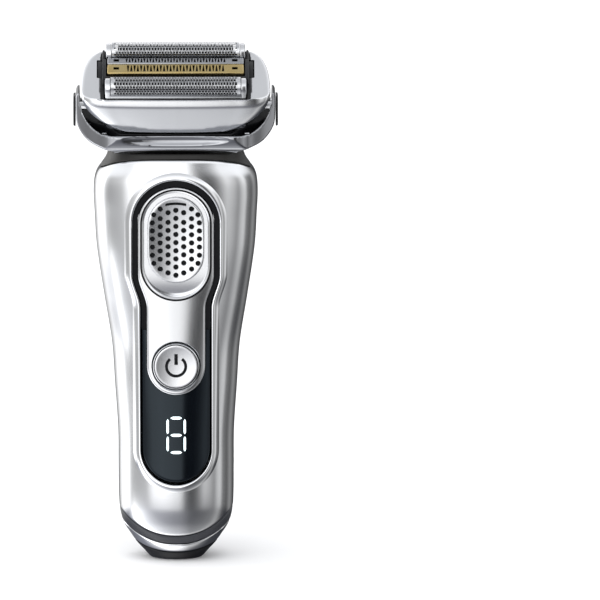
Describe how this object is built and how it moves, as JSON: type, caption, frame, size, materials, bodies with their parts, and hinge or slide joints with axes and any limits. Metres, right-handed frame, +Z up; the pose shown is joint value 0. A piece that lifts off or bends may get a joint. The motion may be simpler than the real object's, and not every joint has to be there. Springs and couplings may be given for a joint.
{
  "type": "foil shaver",
  "caption": "Cordless foil shaver: waisted silver handle with keyhole display insert, oval lock slider, round power button and a tilting head of foils and trimmers.",
  "frame": {"origin": "on the resting plane, under the centre of the whole outline", "axes": "+Z up along the handle to the head; the front with the display faces -Y; +X is to the right when the front is viewed"},
  "size_m": [0.0658, 0.04, 0.1685],
  "materials": {
    "silver_shell": "polished silver lacquer",
    "dark_shell": "dark satin",
    "chrome_trim": "mirror polished",
    "display_gloss": "gloss black lens",
    "satin_silver": "fine satin",
    "black_plastic": "satin black",
    "grey_plastic": "dark grey satin",
    "neck_rubber": "matte warm grey",
    "grip_rubber": "soft touch, textured",
    "steel": "ground steel",
    "foil_frame": "silver lacquer",
    "foil_mesh": "perforated foil",
    "gold_coating": "gold nitride coating",
    "circuit_board": "solder mask",
    "battery_sleeve": "shrink sleeve",
    "motor_iron": "sintered iron",
    "copper_winding": "enamelled copper wire"
  },
  "bodies": {
    "handle": {"front_shell": "silver_shell", "rear_shell": "dark_shell", "bezel_ring": "chrome_trim", "display_window": "display_gloss", "control_plate": "satin_silver", "button_switch": "steel", "display_module": "black_plastic", "main_board": "circuit_board", "inner_chassis": "grey_plastic", "battery_cell": "battery_sleeve", "base_band": "grey_plastic", "base_ring": "chrome_trim", "base_cap": "black_plastic", "charge_pin_left": "steel", "charge_pin_right": "steel", "base_screw_front": "steel", "base_screw_rear": "steel", "neck_seal": "neck_rubber", "yoke": "chrome_trim", "arm_cover_left": "black_plastic", "arm_cover_right": "black_plastic", "pivot_pin_left": "steel", "pivot_pin_right": "steel", "rear_grip": "grip_rubber", "trimmer_housing": "black_plastic"},
    "lock": {"lock_slider": "satin_silver", "lock_rod": "black_plastic"},
    "button": {"power_button": "satin_silver"},
    "long_hair_trimmer": {"trimmer_slide": "black_plastic", "trimmer_comb": "steel"},
    "long_hair_blade": {"trimmer_blade": "steel"},
    "head": {"head_carrier": "black_plastic", "motor_core": "motor_iron", "motor_coil": "copper_winding"},
    "mover_f": {"mover_front": "motor_iron", "drive_pin_front": "steel"},
    "mover_r": {"mover_rear": "motor_iron", "drive_pin_rear": "steel"},
    "cassette": {"cassette_frame": "silver_shell", "element_holder": "black_plastic"},
    "release_l": {"release_button_left": "black_plastic"},
    "release_r": {"release_button_right": "black_plastic"},
    "foil_f": {"front_foil": "foil_mesh", "front_foil_frame": "foil_frame"},
    "foil_r": {"rear_foil": "foil_mesh", "rear_foil_frame": "foil_frame"},
    "cutter_f": {"front_cutter": "steel"},
    "cutter_r": {"rear_cutter": "steel"},
    "gold_element": {"gold_trimmer": "gold_coating"},
    "silver_element": {"silver_trimmer": "steel"},
    "gold_cutting_blade": {"gold_blade": "steel"},
    "silver_cutting_blade": {"silver_blade": "steel"}
  },
  "joints": [
    {"name": "lock_slide", "type": "slide", "parent": "handle", "child": "lock", "axis": [0, 0, -1], "range_m": [0, 0.004]},
    {"name": "power_press", "type": "slide", "parent": "handle", "child": "button", "axis": [0, 1, 0], "range_m": [0, 0.0006], "stiffness_N_per_m": 400, "springref_m": -0.0015},
    {"name": "trimmer_push", "type": "slide", "parent": "handle", "child": "long_hair_trimmer", "axis": [0, 0, 1], "range_m": [0, 0.012]},
    {"name": "trimmer_stroke", "type": "slide", "parent": "long_hair_trimmer", "child": "long_hair_blade", "axis": [1, 0, 0], "range_m": [-0.0008, 0.0008], "stiffness_N_per_m": 60},
    {"name": "head_pivot", "type": "hinge", "parent": "handle", "child": "head", "pos_m": [0, 0.00004, 0.147], "axis": [1, 0, 0], "range_deg": [-30, 10]},
    {"name": "motor_stroke", "type": "slide", "parent": "head", "child": "mover_f", "axis": [1, 0, 0], "range_m": [-0.001, 0.001], "stiffness_N_per_m": 150},
    {"name": "motor_counter_stroke", "type": "slide", "parent": "head", "child": "mover_r", "axis": [1, 0, 0], "range_m": [-0.001, 0.001]},
    {"name": "cassette_lift", "type": "slide", "parent": "head", "child": "cassette", "axis": [0, -0.5, 0.866], "range_m": [0, 0.014]},
    {"name": "release_left", "type": "slide", "parent": "cassette", "child": "release_l", "axis": [1, 0, 0], "range_m": [0, 0.0008], "stiffness_N_per_m": 400, "springref_m": -0.001},
    {"name": "release_right", "type": "slide", "parent": "cassette", "child": "release_r", "axis": [-1, 0, 0], "range_m": [0, 0.0008], "stiffness_N_per_m": 400, "springref_m": -0.001},
    {"name": "float_front", "type": "slide", "parent": "cassette", "child": "foil_f", "axis": [0, 0.5, -0.866], "range_m": [0, 0.002], "stiffness_N_per_m": 200, "springref_m": -0.002},
    {"name": "float_gold", "type": "slide", "parent": "cassette", "child": "gold_element", "axis": [0, 0.5, -0.866], "range_m": [0, 0.0015], "stiffness_N_per_m": 200, "springref_m": -0.002},
    {"name": "float_silver", "type": "slide", "parent": "cassette", "child": "silver_element", "axis": [0, 0.5, -0.866], "range_m": [0, 0.0015], "stiffness_N_per_m": 200, "springref_m": -0.002},
    {"name": "float_rear", "type": "slide", "parent": "cassette", "child": "foil_r", "axis": [0, 0.5, -0.866], "range_m": [0, 0.002], "stiffness_N_per_m": 200, "springref_m": -0.002},
    {"name": "cutter_front_stroke", "type": "slide", "parent": "foil_f", "child": "cutter_f", "axis": [1, 0, 0], "range_m": [-0.001, 0.001]},
    {"name": "cutter_rear_stroke", "type": "slide", "parent": "foil_r", "child": "cutter_r", "axis": [1, 0, 0], "range_m": [-0.001, 0.001]},
    {"name": "gold_blade_stroke", "type": "slide", "parent": "gold_element", "child": "gold_cutting_blade", "axis": [1, 0, 0], "range_m": [-0.001, 0.001]},
    {"name": "silver_blade_stroke", "type": "slide", "parent": "silver_element", "child": "silver_cutting_blade", "axis": [1, 0, 0], "range_m": [-0.001, 0.001]}
  ],
  "couplings": [
    {"joint": "motor_counter_stroke", "follows": "motor_stroke", "ratio": -1},
    {"joint": "cutter_front_stroke", "follows": "motor_stroke", "ratio": 1},
    {"joint": "cutter_rear_stroke", "follows": "motor_stroke", "ratio": -1},
    {"joint": "gold_blade_stroke", "follows": "motor_stroke", "ratio": -1},
    {"joint": "silver_blade_stroke", "follows": "motor_stroke", "ratio": 1}
  ]
}
